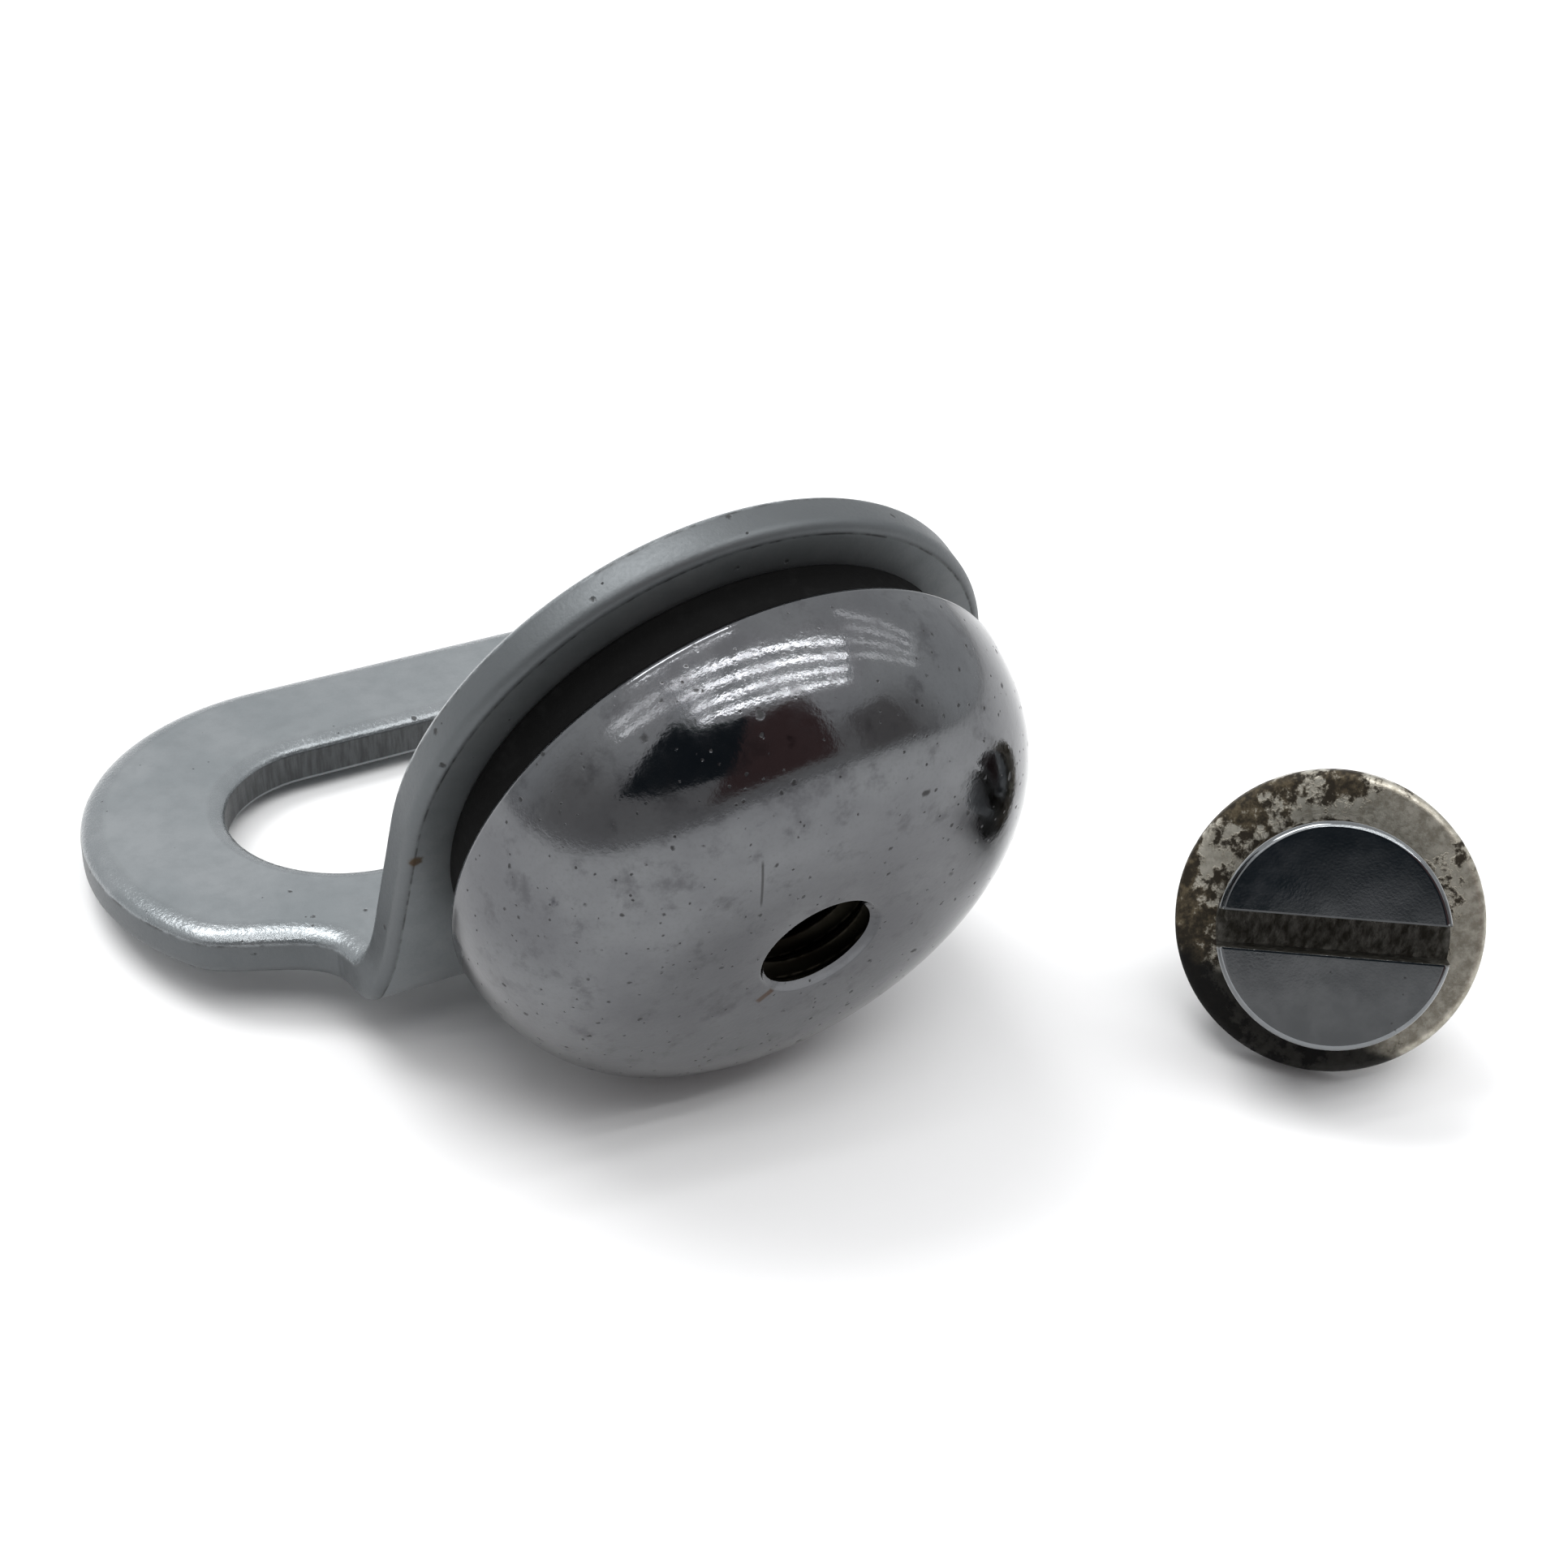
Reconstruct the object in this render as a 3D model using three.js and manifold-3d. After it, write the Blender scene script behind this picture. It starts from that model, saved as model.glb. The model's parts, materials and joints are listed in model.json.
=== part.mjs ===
// Floor door holder: a bent steel bracket with a slotted foot, a polished dome head clamped against
// its upright over a rubber buffer ring, and the loose screw and washer that fix the foot.
// Millimetres, +Z up. The holder lies as it does when it is put down on a table: on the dome's edge
// and the foot's back edge. The origin is on the table, under the middle of the whole object.

import * as THREE from 'three';
import { mergeVertices } from 'three/addons/utils/BufferGeometryUtils.js';
import Module from 'manifold-3d';

// ---- driving dimensions ----
const SHEET = 2.0; // thickness of the bracket's steel
const EDGE_ROUND = 0.4; // rolled edges of the stamping
const BEND_OUTER_R = 1.5;
const BEND_INNER_R = 0.3;
const LEAN = THREE.MathUtils.degToRad(19.3); // the upright leans this far past square, over the dome
const UPRIGHT_R = 13.1; // round top of the upright, and half its width
const AXIS_UP = 10.3; // from the outer corner of the bend up to the dome's axis
const FOOT_R = 11.62;
const SLOT_R = 5.4;
const SLOT_HALF = 9.17; // from the middle of the slot to each of its end centres
const SLOT_BACK = 12.29; // from the outer corner of the bend back to the slot's middle line
const FLARE_ANGLE = THREE.MathUtils.degToRad(34); // how far past its widest point the foot's end is round
const FLARE_WAIST = 13.75; // half the foot's width where the hollow flare beside the bend ends
const FLARE_FRONT = 1.9; // from the outer corner of the bend back to that waist

const DOME_R = 12.38;
const DOME_BACK = 2.39; // the dome's flat back stands this far off the upright
const DOME_RISE = 7.19; // from the dome's back to its crown
const DOME_POWER = 4.26; // how square the dome's shoulder is
const RING_R = 11.33;
const RING_BORE_R = 4.4;
const SLEEVE_R = 4.0;

const THREAD_R = 2.95; // M6 thread, drawn as a plain cylinder
const TAPPED_R = 2.45; // the crests of the M6 thread in the dome
const CLEAR_R = 3.2; // clearance bores for M6
const HEAD_R = 4.85;
const HEAD_HIGH = 3.9;
const HEAD_SLOT_WIDE = 1.6;
const HEAD_SLOT_DEEP = 1.7;
const HEAD_CHAMFER = 0.35;
const SCREW_POINT = 0.4; // chamfer on the end of each thread
const CLAMP_SCREW_LONG = 10;
const FIXING_SCREW_LONG = 8;
const LOCK_WASHER_R = 5.4;
const LOCK_WASHER_THICK = 1.6;
const LOCK_GAP_WIDE = 0.7;
const LOCK_GAP_SLANT = 0.35; // radians
const FIXING_WASHER_R = 6.6;
const FIXING_WASHER_THICK = 1.2;

const DOME_RIM_ROUND = 0.5;
const HOLE_CHAMFER = 0.25;
const RUBBER_CHAMFER = 0.2;
const STEEL_CHAMFER = 0.15;
const SLEEVE_CHAMFER = 0.1;

const GAP = 0.1; // between pieces that rest on each other
const ROUND_STEPS = 64;

// ---- where the loose screw lies, from the bend's corner ----
const SCREW_ASIDE = 24.27;
const SCREW_FORWARD = 15.46;
const SCREW_TURN = THREE.MathUtils.degToRad(-46.5);
const SLOT_TURN = THREE.MathUtils.degToRad(10);

const wasm = await Module();
wasm.setup();

// ---- solids ----
function toManifold(geometry) {
  const bare = geometry.clone();
  bare.deleteAttribute('normal');
  bare.deleteAttribute('uv');
  const merged = mergeVertices(bare, 1e-4);
  return new wasm.Manifold(new wasm.Mesh({
    numProp: 3,
    vertProperties: new Float32Array(merged.attributes.position.array),
    triVerts: new Uint32Array(merged.index.array),
  }));
}

function toGeometry(manifold) {
  const mesh = manifold.getMesh();
  const geometry = new THREE.BufferGeometry();
  geometry.setAttribute('position', new THREE.BufferAttribute(mesh.vertProperties, 3));
  geometry.setIndex(new THREE.BufferAttribute(mesh.triVerts, 1));
  geometry.computeVertexNormals();
  return geometry;
}

// A solid turned about Z from a closed profile of [radius, height] points.
function turned(profile) {
  const points = profile.map(([radius, height]) => new THREE.Vector2(radius, height));
  points.push(points[0].clone());
  return new THREE.LatheGeometry(points, ROUND_STEPS).rotateX(Math.PI / 2);
}

// A flat ring with its outer edges broken by a small chamfer.
function ringProfile(boreR, outerR, low, high, chamfer) {
  return [
    [boreR, low],
    [outerR - chamfer, low],
    [outerR, low + chamfer],
    [outerR, high - chamfer],
    [outerR - chamfer, high],
    [boreR, high],
  ];
}

function piece(name, geometry, look) {
  const mesh = new THREE.Mesh(geometry, new THREE.MeshStandardMaterial(look));
  mesh.name = name;
  return mesh;
}

const PLATED_STEEL = { color: 0x8d9499, roughness: 0.38, metalness: 1 };
const POLISHED_CHROME = { color: 0xa9acb2, roughness: 0.2, metalness: 1 };
const BLACK_RUBBER = { color: 0x161617, roughness: 0.75, metalness: 0 };
const PLAIN_STEEL = { color: 0x7f8183, roughness: 0.45, metalness: 1 };
const SCREW_STEEL = { color: 0x9a9fa5, roughness: 0.25, metalness: 1 };
const STAINED_STEEL = { color: 0x8a8170, roughness: 0.6, metalness: 0.8 };

// ---- bracket ----
const HALF_BEND_TAN = Math.tan((Math.PI / 2 - LEAN) / 2);
const OUTER_TANGENT = BEND_OUTER_R * HALF_BEND_TAN; // from the outer corner to where the bend starts
const INNER_TANGENT = (SHEET + BEND_INNER_R) * HALF_BEND_TAN;
const STRIP_REACH = 30; // the strip runs well past both outlines that cut it
const BLANK_LAP = 3; // each outline runs this far past the bend's corner

// Stands the XY plane up as the upright's front face: Y runs up the face and Z out of it.
const toUpright = new THREE.Matrix4().makeRotationX(Math.PI / 2 + LEAN);

// The bracket's side view, swept across: foot, bend and upright in one thickness of sheet.
function bentStrip() {
  const up = new THREE.Vector2(-Math.sin(LEAN), Math.cos(LEAN));
  const frontWay = Math.PI + LEAN;
  const outerTop = up.clone().multiplyScalar(STRIP_REACH);
  const innerTop = outerTop.clone().add(new THREE.Vector2(up.y, -up.x).multiplyScalar(SHEET));
  const side = new THREE.Shape();
  side.moveTo(STRIP_REACH, 0);
  side.lineTo(STRIP_REACH, SHEET);
  side.lineTo(INNER_TANGENT, SHEET);
  side.absarc(INNER_TANGENT, SHEET + BEND_INNER_R, BEND_INNER_R, -Math.PI / 2, frontWay - 2 * Math.PI, true);
  side.lineTo(innerTop.x, innerTop.y);
  side.lineTo(outerTop.x, outerTop.y);
  side.absarc(OUTER_TANGENT, BEND_OUTER_R, BEND_OUTER_R, frontWay, 1.5 * Math.PI, false);
  side.closePath();
  const sweep = { depth: 2 * STRIP_REACH, bevelEnabled: false, curveSegments: 8 };
  const strip = new THREE.ExtrudeGeometry(side, sweep);
  strip.translate(0, 0, -STRIP_REACH);
  const crossways = new THREE.Matrix4().makeBasis(
    new THREE.Vector3(0, 1, 0), new THREE.Vector3(0, 0, 1), new THREE.Vector3(1, 0, 0));
  return toManifold(strip.applyMatrix4(crossways));
}

// A plate from Z = 0 to the sheet's thickness, with rolled edges.
function rolledPlate(shape) {
  const plate = new THREE.ExtrudeGeometry(shape, {
    depth: SHEET - 2 * EDGE_ROUND,
    bevelThickness: EDGE_ROUND,
    bevelSize: EDGE_ROUND,
    bevelOffset: -EDGE_ROUND,
    bevelSegments: 2,
    curveSegments: 20,
  });
  return plate.translate(0, 0, EDGE_ROUND);
}

// The blank's outline on the foot: a round end on each side runs out into a hollow flare,
// which ends in the waist beside the bend.
function footPlate() {
  const startX = SLOT_HALF + FOOT_R * Math.cos(FLARE_ANGLE);
  const startY = SLOT_BACK - FOOT_R * Math.sin(FLARE_ANGLE);
  const lead = 1.9; // how far the flare follows the round end's own direction
  const leadX = startX - lead * Math.sin(FLARE_ANGLE);
  const leadY = startY - lead * Math.cos(FLARE_ANGLE);
  const hollowX = FLARE_WAIST + 0.25;
  const hollowY = FLARE_FRONT + 2.2;
  const outline = new THREE.Shape();
  outline.moveTo(-UPRIGHT_R, -BLANK_LAP);
  outline.lineTo(UPRIGHT_R, -BLANK_LAP);
  outline.lineTo(UPRIGHT_R, 0);
  outline.quadraticCurveTo(FLARE_WAIST, FLARE_FRONT / 2, FLARE_WAIST, FLARE_FRONT);
  outline.bezierCurveTo(hollowX, hollowY, leadX, leadY, startX, startY);
  outline.absarc(SLOT_HALF, SLOT_BACK, FOOT_R, -FLARE_ANGLE, Math.PI / 2, false);
  outline.absarc(-SLOT_HALF, SLOT_BACK, FOOT_R, Math.PI / 2, Math.PI + FLARE_ANGLE, false);
  outline.bezierCurveTo(-leadX, leadY, -hollowX, hollowY, -FLARE_WAIST, FLARE_FRONT);
  outline.quadraticCurveTo(-FLARE_WAIST, FLARE_FRONT / 2, -UPRIGHT_R, 0);
  const slot = new THREE.Path();
  slot.absarc(SLOT_HALF, SLOT_BACK, SLOT_R, Math.PI / 2, -Math.PI / 2, true);
  slot.absarc(-SLOT_HALF, SLOT_BACK, SLOT_R, -Math.PI / 2, -1.5 * Math.PI, true);
  slot.closePath();
  outline.holes.push(slot);
  return toManifold(rolledPlate(outline));
}

function uprightPlate() {
  const outline = new THREE.Shape();
  outline.moveTo(-UPRIGHT_R, -BLANK_LAP);
  outline.lineTo(UPRIGHT_R, -BLANK_LAP);
  outline.absarc(0, AXIS_UP, UPRIGHT_R, 0, Math.PI, false);
  outline.closePath();
  const plate = rolledPlate(outline).translate(0, 0, -SHEET);
  const bore = new THREE.CylinderGeometry(CLEAR_R, CLEAR_R, 4 * SHEET, 32)
    .rotateX(Math.PI / 2)
    .translate(0, AXIS_UP, 0);
  const bored = toManifold(plate).subtract(toManifold(bore));
  return toManifold(toGeometry(bored).applyMatrix4(toUpright));
}

function bracket() {
  const blank = footPlate().add(uprightPlate());
  return toGeometry(bentStrip().intersect(blank));
}

// ---- head, on the dome's axis: Z = 0 on the upright's front face ----
const CLAMP_HEAD_SEAT = -(SHEET + LOCK_WASHER_THICK + 2 * GAP);
const CLAMP_TIP = CLAMP_HEAD_SEAT + CLAMP_SCREW_LONG;

function domeHeight(radius) {
  return DOME_BACK + DOME_RISE * Math.sqrt(1 - (radius / DOME_R) ** DOME_POWER);
}

function domeProfile() {
  const steps = 12;
  const threadEnd = CLAMP_TIP + GAP;
  const profile = [
    [TAPPED_R, threadEnd],
    [CLEAR_R, threadEnd],
    [CLEAR_R, DOME_BACK],
    [DOME_R - DOME_RIM_ROUND, DOME_BACK],
    [DOME_R - 0.3 * DOME_RIM_ROUND, DOME_BACK + 0.3 * DOME_RIM_ROUND],
    [DOME_R, DOME_BACK + DOME_RIM_ROUND],
  ];
  const lipR = TAPPED_R + HOLE_CHAMFER;
  for (let i = 1; i <= steps; i += 1) {
    const swing = (i / steps) * (Math.PI / 2);
    const radius = lipR + (DOME_R - lipR) * Math.cos(swing) ** 0.6; // points crowd at the shoulder
    profile.push([radius, domeHeight(radius)]);
  }
  profile.push([TAPPED_R, domeHeight(TAPPED_R) - HOLE_CHAMFER]);
  return profile;
}

// A split spring washer: a ring cut through by a narrow slanted gap.
function lockWasher() {
  const back = -(SHEET + GAP + LOCK_WASHER_THICK);
  const front = back + LOCK_WASHER_THICK;
  const ring = turned(ringProfile(CLEAR_R, LOCK_WASHER_R, back, front, STEEL_CHAMFER));
  const cut = new THREE.BoxGeometry(LOCK_GAP_WIDE, LOCK_WASHER_R, 3 * LOCK_WASHER_THICK)
    .rotateY(LOCK_GAP_SLANT)
    .translate(0, LOCK_WASHER_R - 1, back + LOCK_WASHER_THICK / 2);
  return toGeometry(toManifold(ring).subtract(toManifold(cut)));
}

// ---- slotted cheese-head screw: Z = 0 under the head, the head above, the shank below ----
function cheeseScrew(length) {
  const profile = [
    [0, -length],
    [THREAD_R - SCREW_POINT, -length],
    [THREAD_R, SCREW_POINT - length],
    [THREAD_R, 0],
    [HEAD_R, 0],
    [HEAD_R, HEAD_HIGH - HEAD_CHAMFER],
    [HEAD_R - HEAD_CHAMFER, HEAD_HIGH],
    [0, HEAD_HIGH],
  ];
  const points = profile.map(([radius, height]) => new THREE.Vector2(radius, height));
  const blank = new THREE.LatheGeometry(points, ROUND_STEPS / 2).rotateX(Math.PI / 2);
  const slot = new THREE.BoxGeometry(4 * HEAD_R, HEAD_SLOT_WIDE, 2 * HEAD_SLOT_DEEP)
    .translate(0, 0, HEAD_HIGH);
  return toGeometry(toManifold(blank).subtract(toManifold(slot)));
}

// ---- assembly, first in the bracket's own frame ----
const holder = new THREE.Group();
holder.add(piece('bracket', bracket(), PLATED_STEEL));

const headAxis = new THREE.Group();
headAxis.rotation.x = Math.PI / 2 + LEAN;
headAxis.position.set(0, -AXIS_UP * Math.sin(LEAN), AXIS_UP * Math.cos(LEAN));
holder.add(headAxis);

headAxis.add(piece('dome_head', turned(domeProfile()), POLISHED_CHROME));
const ringFace = DOME_BACK - GAP;
const rubberProfile = ringProfile(RING_BORE_R, RING_R, GAP, ringFace, RUBBER_CHAMFER);
headAxis.add(piece('buffer_ring', turned(rubberProfile), BLACK_RUBBER));
const sleeveProfile = ringProfile(CLEAR_R, SLEEVE_R, GAP, ringFace, SLEEVE_CHAMFER);
headAxis.add(piece('spacer_sleeve', turned(sleeveProfile), PLAIN_STEEL));
headAxis.add(piece('lock_washer', lockWasher(), PLAIN_STEEL));

// The clamp screw comes from behind, so its shank points out of the upright's face.
const clampScrew = piece('clamp_screw', cheeseScrew(CLAMP_SCREW_LONG), SCREW_STEEL);
clampScrew.rotation.y = Math.PI;
clampScrew.position.z = CLAMP_HEAD_SEAT;
headAxis.add(clampScrew);

// Tips the holder back until the dome's edge and the foot's back edge both touch the table.
function restTilt() {
  const footY = SLOT_BACK + FOOT_R - EDGE_ROUND;
  let tilt = 0;
  for (const [radius, height] of domeProfile()) {
    const along = AXIS_UP - radius;
    const y = -along * Math.sin(LEAN) - height * Math.cos(LEAN);
    const z = along * Math.cos(LEAN) - height * Math.sin(LEAN);
    tilt = Math.max(tilt, Math.atan2(-z, footY - y));
  }
  return tilt;
}
const REST_TILT = restTilt();
holder.rotation.x = -REST_TILT;
holder.position.z = (SLOT_BACK + FOOT_R - EDGE_ROUND) * Math.sin(REST_TILT);

// ---- loose fixing screw, lying on its washer's rim and the end of its thread ----
const shankBelowWasher = FIXING_SCREW_LONG - SCREW_POINT - FIXING_WASHER_THICK - GAP;
const SCREW_TILT = Math.atan2(FIXING_WASHER_R - THREAD_R, shankBelowWasher);
const washerSink = (FIXING_WASHER_THICK + GAP) * Math.sin(SCREW_TILT);
const looseScrew = new THREE.Group();
looseScrew.rotation.set(Math.PI / 2 - SCREW_TILT, 0, SCREW_TURN, 'ZYX');
looseScrew.position.set(
  SCREW_ASIDE, -SCREW_FORWARD, FIXING_WASHER_R * Math.cos(SCREW_TILT) + washerSink);

const fixingScrew = piece('fixing_screw', cheeseScrew(FIXING_SCREW_LONG), SCREW_STEEL);
fixingScrew.rotation.z = SLOT_TURN;
looseScrew.add(fixingScrew);
const washerProfile = ringProfile(
  CLEAR_R, FIXING_WASHER_R, -GAP - FIXING_WASHER_THICK, -GAP, STEEL_CHAMFER);
looseScrew.add(piece('fixing_washer', turned(washerProfile), STAINED_STEEL));

// ---- the whole object, its origin under the middle of its box ----
const doorHolder = new THREE.Group();
doorHolder.add(holder);
doorHolder.add(looseScrew);
doorHolder.updateMatrixWorld(true);
const box = new THREE.Box3().setFromObject(doorHolder, true);
const middle = box.getCenter(new THREE.Vector3());
doorHolder.position.set(-middle.x, -middle.y, -box.min.z);
doorHolder.updateMatrixWorld(true);

export default doorHolder;
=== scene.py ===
# %% [markdown]
# # A floor door holder, piece by piece
# A small steel bracket is screwed down by its slotted foot. On its upright sits a polished head,
# clamped over a rubber ring, which a spring catch on the door grips. The screw and washer for the
# foot lie loose beside it. The plain engineering model gives every place and size. This lesson
# makes the surfaces that the eye sees: rolled edges, real threads, pitted chrome and stained steel.

# %% Load the frame
import json
import math

import bmesh
import bpy
from mathutils import Matrix, Vector


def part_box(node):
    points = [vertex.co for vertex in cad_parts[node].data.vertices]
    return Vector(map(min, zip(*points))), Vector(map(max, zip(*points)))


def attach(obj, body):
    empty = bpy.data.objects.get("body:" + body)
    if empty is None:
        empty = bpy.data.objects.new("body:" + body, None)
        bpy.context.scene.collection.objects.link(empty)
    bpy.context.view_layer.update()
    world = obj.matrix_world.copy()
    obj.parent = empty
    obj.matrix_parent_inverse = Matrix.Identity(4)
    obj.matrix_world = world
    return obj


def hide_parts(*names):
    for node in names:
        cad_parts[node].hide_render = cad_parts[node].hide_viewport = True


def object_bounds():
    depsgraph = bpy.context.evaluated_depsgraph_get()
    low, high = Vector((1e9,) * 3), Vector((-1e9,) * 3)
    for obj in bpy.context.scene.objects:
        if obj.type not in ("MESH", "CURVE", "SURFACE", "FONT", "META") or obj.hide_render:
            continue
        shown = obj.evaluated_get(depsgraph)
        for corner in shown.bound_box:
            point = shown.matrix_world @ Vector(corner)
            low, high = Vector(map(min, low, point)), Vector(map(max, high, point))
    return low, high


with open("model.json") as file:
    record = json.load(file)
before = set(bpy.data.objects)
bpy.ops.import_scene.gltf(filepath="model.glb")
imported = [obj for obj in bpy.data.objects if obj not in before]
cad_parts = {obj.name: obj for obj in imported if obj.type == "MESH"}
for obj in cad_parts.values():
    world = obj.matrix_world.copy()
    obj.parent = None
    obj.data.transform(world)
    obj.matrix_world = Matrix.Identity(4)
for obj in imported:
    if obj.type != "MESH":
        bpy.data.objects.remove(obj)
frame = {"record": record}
cad_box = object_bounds()
MM = 0.001
print("frame box in mm:", [round(c / MM, 2) for corner in cad_box for c in corner])

# %% [markdown]
# ## Where things are
# Two directions rule the holder: the head's axis, which the head turns on, and the square way up
# from the foot. Both come from the record, so nothing is measured twice. The loose screw has an
# axis of its own, and its washer's middle is the middle of the washer's box, because a ring looks
# the same from both ends.

# %% Directions and origins
record = frame["record"]
joints = {joint["name"]: joint for joint in record["behaviour"]["joints"]}
mounts = {mount["name"]: mount for mount in record["mounts"]}

across = Vector((1, 0, 0))
head_out = Vector(joints["head_turn"]["axis"]).normalized()
head_seat = Vector(joints["head_turn"]["pos_m"])
up_face = head_out.cross(across)
foot_up = -Vector(mounts["foot_underside"]["axis"]).normalized()
foot_back = foot_up.cross(across)
LEAN = math.asin(-up_face.dot(foot_back))

SHEET = 2.0
AXIS_UP = 10.3
bend_corner = head_seat - up_face * AXIS_UP * MM
print("the upright leans", round(math.degrees(LEAN), 1), "degrees past square")


def frame_of(origin, x_way, y_way, z_way):
    """A matrix that takes millimetres in a piece's own frame to metres in the shared one."""
    turn = Matrix((x_way, y_way, z_way)).transposed().to_4x4()
    return Matrix.Translation(origin) @ turn @ Matrix.Scale(MM, 4)


HEAD_FRAME = frame_of(head_seat, across, up_face, head_out)
FOOT_FRAME = frame_of(bend_corner, across, foot_back, foot_up)

# %% The loose screw's own frame
WASHER_THICK = 1.2
GAP = 0.1
SLOT_TURN = math.radians(10)

screw_out = Vector(joints["fixing_screw_pull"]["axis"]).normalized()
washer_low, washer_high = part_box("fixing_washer")
washer_middle = (washer_low + washer_high) / 2
under_head = washer_middle + screw_out * (GAP + WASHER_THICK / 2) * MM
level = Vector((0, 0, 1)).cross(screw_out).normalized()
slot_way = (Matrix.Rotation(SLOT_TURN, 3, screw_out) @ level).normalized()
SCREW_FRAME = frame_of(under_head, slot_way, screw_out.cross(slot_way), screw_out)
print("the loose screw tips up", round(math.degrees(math.asin(screw_out.z)), 1), "degrees")

# %% [markdown]
# ## Helpers for making pieces
# Every piece is first made about its own axis in millimetres, which keeps the numbers readable.
# Then its vertices, not its object, are carried to their place, so a pattern that reads object
# coordinates stays put. Edges that turn sharply are marked sharp and the rest are shaded smooth,
# as a polished surface is.


# %% From a mesh to a finished piece
def mark_sharp(mesh, degrees):
    """Smooth shading, broken at edges that turn by more than this."""
    work = bmesh.new()
    work.from_mesh(mesh)
    for face in work.faces:
        face.smooth = True
    for edge in work.edges:
        edge.smooth = edge.calc_face_angle(math.pi) < math.radians(degrees)
    work.to_mesh(mesh)
    work.free()


def evaluated(source, modifiers):
    """The object's mesh after its modifiers, as a plain mesh, with the object thrown away."""
    for modifier in modifiers:
        if hasattr(modifier, "show_viewport"):
            modifier.show_viewport = True
    bpy.context.view_layer.update()
    graph = bpy.context.evaluated_depsgraph_get()
    mesh = bpy.data.meshes.new_from_object(source.evaluated_get(graph))
    bpy.data.objects.remove(source)
    return mesh


def loose_object(name, mesh):
    made = bpy.data.objects.new(name, mesh)
    bpy.context.scene.collection.objects.link(made)
    return made


def add_piece(name, mesh, place, body, node, material, sharp=35):
    """Carries a mesh to its place and ties it to its body, CAD node and material slot."""
    mesh.transform(place)
    mark_sharp(mesh, sharp)
    mesh.materials.clear()
    mesh.materials.append(material)
    made = loose_object(name, mesh)
    weigh = made.modifiers.new("weigh normals", "WEIGHTED_NORMAL")
    weigh.keep_sharp = True
    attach(made, body)
    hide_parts(node)
    print(name, len(mesh.vertices), "vertices")
    return made


# %% Turning a profile about its axis
def turned(name, profile, steps=96):
    """A solid of revolution about Z from a closed loop of (radius, height) points.
    A point on the axis is made once, and closes the end with a fan."""
    work = bmesh.new()
    rings = []
    for radius, height in profile:
        if radius == 0:
            rings.append([work.verts.new((0, 0, height))] * steps)
            continue
        spokes = [2 * math.pi * i / steps for i in range(steps)]
        around = [(radius * math.cos(a), radius * math.sin(a), height) for a in spokes]
        rings.append([work.verts.new(place) for place in around])
    closed = profile[0][0] > 0
    pairs = list(zip(rings, rings[1:])) + ([(rings[-1], rings[0])] if closed else [])
    for low, high in pairs:
        for i in range(steps):
            j = (i + 1) % steps
            corners = dict.fromkeys((low[i], low[j], high[j], high[i]))
            work.faces.new(corners)
    bmesh.ops.recalc_face_normals(work, faces=work.faces)
    mesh = bpy.data.meshes.new(name)
    work.to_mesh(mesh)
    work.free()
    return mesh


def arc(middle_r, middle_z, size, start, end, steps):
    """Points along a round corner, by angle in degrees from the outward way."""
    points = []
    for i in range(steps + 1):
        a = math.radians(start + (end - start) * i / steps)
        points.append((middle_r + size * math.cos(a), middle_z + size * math.sin(a)))
    return points


def straight(radius, low, high, step):
    """Evenly spaced points up a cylinder, fine enough for a thread to be cut in it."""
    count = max(1, round(abs(high - low) / step))
    return [(radius, low + (high - low) * i / count) for i in range(count + 1)]


# %% [markdown]
# ## Cutting threads with Geometry Nodes
# A screw thread follows a rule: the surface moves in and out once for each pitch along the axis,
# and the pattern climbs one pitch in each turn. Such a rule suits a node tree. It reads each
# point's angle and height, works out where it is between crest and root, and moves it along its
# radius. The same tree cuts the screws from outside and the head's hole from inside.


# %% A node tree that cuts a thread
CREST, FLANK_SLOPE, RUN_OUT = 0.06, 2.6, 6.0


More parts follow.
